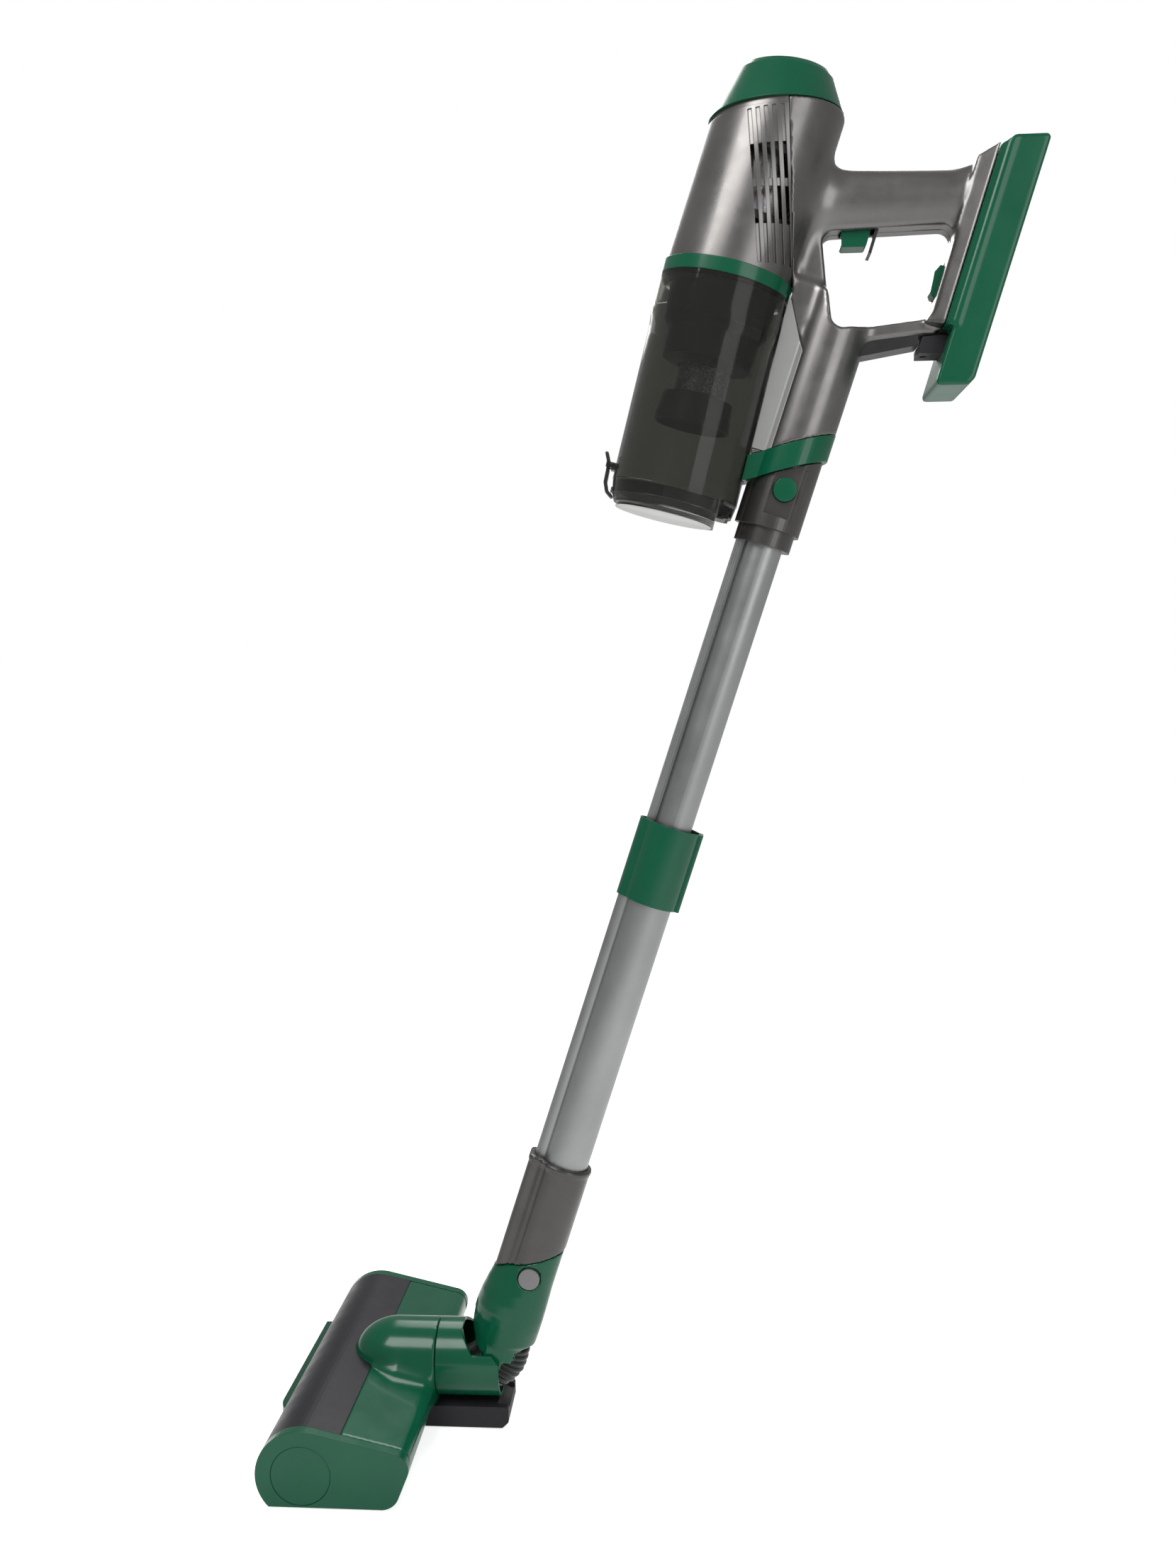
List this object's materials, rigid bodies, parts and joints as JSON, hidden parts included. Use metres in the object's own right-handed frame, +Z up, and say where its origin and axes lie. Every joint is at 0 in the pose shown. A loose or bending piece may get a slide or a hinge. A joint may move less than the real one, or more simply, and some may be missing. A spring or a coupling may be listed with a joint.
{
  "type": "cordless stick vacuum",
  "caption": "Cordless stick vacuum: cyclone hand unit with loop grip and clip-on battery, telescopic wand, and swivelling floor head with a driven brush roller",
  "frame": {"origin": "on the floor under the middle of the floor head's sole strip", "axes": "+Z up, -Y towards the front of the floor head, +X the head's right-hand end"},
  "size_m": [0.2812, 0.5932, 1.0623],
  "materials": {
    "green_gloss": "glossy dark green moulding",
    "gunmetal": "satin metallic grey",
    "charcoal": "matte dark grey",
    "black": "matte black",
    "silver": "satin anodised",
    "smoke": "smoke-grey clear plastic",
    "steel": "machined",
    "rubber": "matte black",
    "felt": "short pile",
    "bristle": "nylon tufts",
    "grey_light": "light grey satin",
    "white": "off-white",
    "filter": "pleated paper",
    "mesh": "fine perforated mesh",
    "cells": "shrink-wrapped"
  },
  "bodies": {
    "main": {"barrel_shell": "gunmetal", "handle_left": "gunmetal", "handle_right": "gunmetal", "green_band": "green_gloss", "duct_trim": "grey_light", "duct_liner": "charcoal", "strut_cover": "black", "cup_ring": "green_gloss", "exhaust_cap": "green_gloss", "exhaust_filter": "filter", "motor_can": "steel", "motor_mount": "rubber", "finger_guard": "black", "housing_screws": "steel"},
    "impeller": {"impeller": "white"},
    "trigger": {"trigger": "green_gloss"},
    "battery_button": {"battery_button": "green_gloss"},
    "battery": {"battery_case": "green_gloss", "battery_rail": "charcoal", "battery_cells": "cells", "charge_socket": "charcoal"},
    "cup": {"dust_cup": "smoke", "cyclone_shroud": "charcoal", "mesh_filter": "mesh", "cyclone_skirt": "charcoal"},
    "lid": {"lid": "smoke", "lid_seal": "rubber"},
    "lid_latch": {"lid_latch": "smoke"},
    "upper": {"upper_tube": "silver", "conductor_rail": "silver", "top_connector": "gunmetal"},
    "wand_button": {"wand_button": "green_gloss"},
    "lower": {"lower_tube": "silver", "lower_connector": "gunmetal", "tube_bush": "charcoal"},
    "collar": {"collar": "green_gloss"},
    "elbow": {"elbow_shell": "green_gloss", "elbow_spigot": "charcoal", "bellows": "rubber"},
    "elbow_button": {"elbow_button": "grey_light"},
    "sleeve": {"swivel_sleeve": "green_gloss"},
    "head": {"head_top_cover": "green_gloss", "head_panel": "charcoal", "head_base": "charcoal", "end_cap_left": "green_gloss", "end_cap_right": "green_gloss", "bumper_strip": "green_gloss", "tail_block": "charcoal", "neck_ring": "black", "drive_motor": "steel", "drive_belt": "rubber", "sole_strips": "felt"},
    "brush": {"brush_core": "charcoal", "bristle_strips": "bristle", "brush_pulley": "steel"},
    "motor_pulley": {"motor_pulley": "steel"},
    "brush_cover": {"brush_cover": "green_gloss"},
    "rear_roller": {"rear_roller": "rubber"},
    "front_rollers": {"front_rollers": "rubber"}
  },
  "joints": [
    {"name": "impeller_spin", "type": "hinge", "parent": "main", "child": "impeller", "pos_m": [0, 0.30594, 0.94405], "axis": [0, 0.3098, 0.9508], "continuous": true},
    {"name": "trigger_pull", "type": "slide", "parent": "main", "child": "trigger", "axis": [0, 1, 0], "range_m": [0, 0.002], "stiffness_N_per_m": 1500, "springref_m": -0.001},
    {"name": "battery_button_press", "type": "slide", "parent": "main", "child": "battery_button", "axis": [0, 0.9655, -0.2605], "range_m": [0, 0.0025], "stiffness_N_per_m": 1200, "springref_m": -0.001},
    {"name": "battery_slide", "type": "slide", "parent": "main", "child": "battery", "axis": [0, -0.291, -0.9567], "range_m": [0, 0.06]},
    {"name": "cup_slide", "type": "slide", "parent": "main", "child": "cup", "axis": [0, -0.2462, -0.9692], "range_m": [0, 0.025]},
    {"name": "lid_swing", "type": "hinge", "parent": "cup", "child": "lid", "pos_m": [0, 0.29029, 0.7292], "axis": [1, 0, 0], "range_deg": [0, 60]},
    {"name": "lid_latch_press", "type": "hinge", "parent": "cup", "child": "lid_latch", "pos_m": [0, 0.20228, 0.76981], "axis": [1, 0, 0], "range_deg": [-14, 0], "stiffness_Nm_per_rad": 0.4, "springref_deg": 5.73},
    {"name": "wand_release", "type": "slide", "parent": "main", "child": "upper", "axis": [0, -0.3098, -0.9508], "range_m": [0, 0.06]},
    {"name": "wand_button_press", "type": "slide", "parent": "upper", "child": "wand_button", "axis": [-1, 0, 0], "range_m": [0, 0.0015], "stiffness_N_per_m": 1500, "springref_m": -0.001},
    {"name": "telescope", "type": "slide", "parent": "upper", "child": "lower", "axis": [0, 0.3098, 0.9508], "range_m": [0, 0.2]},
    {"name": "collar_slide", "type": "slide", "parent": "lower", "child": "collar", "axis": [0, -0.3098, -0.9508], "range_m": [0, 0.006], "stiffness_N_per_m": 120, "springref_m": -0.002},
    {"name": "elbow_release", "type": "slide", "parent": "lower", "child": "elbow", "axis": [0, -0.3098, -0.9508], "range_m": [0, 0.03]},
    {"name": "elbow_button_press", "type": "slide", "parent": "elbow", "child": "elbow_button", "axis": [-1, 0, 0], "range_m": [0, 0.0014], "stiffness_N_per_m": 1500, "springref_m": -0.001},
    {"name": "neck_tilt", "type": "hinge", "parent": "elbow", "child": "sleeve", "pos_m": [0, 0.102, 0.0535], "axis": [1, 0, 0], "range_deg": [-14, 55], "deforming": ["bellows"]},
    {"name": "head_roll", "type": "hinge", "parent": "sleeve", "child": "head", "pos_m": [0, 0.07, 0.0496], "axis": [0, 1, 0], "range_deg": [-80, 80]},
    {"name": "brush_spin", "type": "hinge", "parent": "head", "child": "brush", "pos_m": [0, -0.0224, 0.0247], "axis": [1, 0, 0], "continuous": true},
    {"name": "motor_pulley_spin", "type": "hinge", "parent": "head", "child": "motor_pulley", "pos_m": [-0.1155, 0.034, 0.025], "axis": [1, 0, 0], "continuous": true},
    {"name": "brush_cover_turn", "type": "hinge", "parent": "head", "child": "brush_cover", "pos_m": [0.136, -0.0224, 0.0247], "axis": [1, 0, 0], "range_deg": [0, 45]},
    {"name": "rear_roller_spin", "type": "hinge", "parent": "head", "child": "rear_roller", "pos_m": [0, 0.103, 0.0082], "axis": [1, 0, 0], "continuous": true},
    {"name": "front_roller_spin", "type": "hinge", "parent": "head", "child": "front_rollers", "pos_m": [0, 0.022, 0.0052], "axis": [1, 0, 0], "continuous": true}
  ],
  "couplings": [
    {"joint": "motor_pulley_spin", "follows": "brush_spin", "ratio": 1.8333}
  ]
}
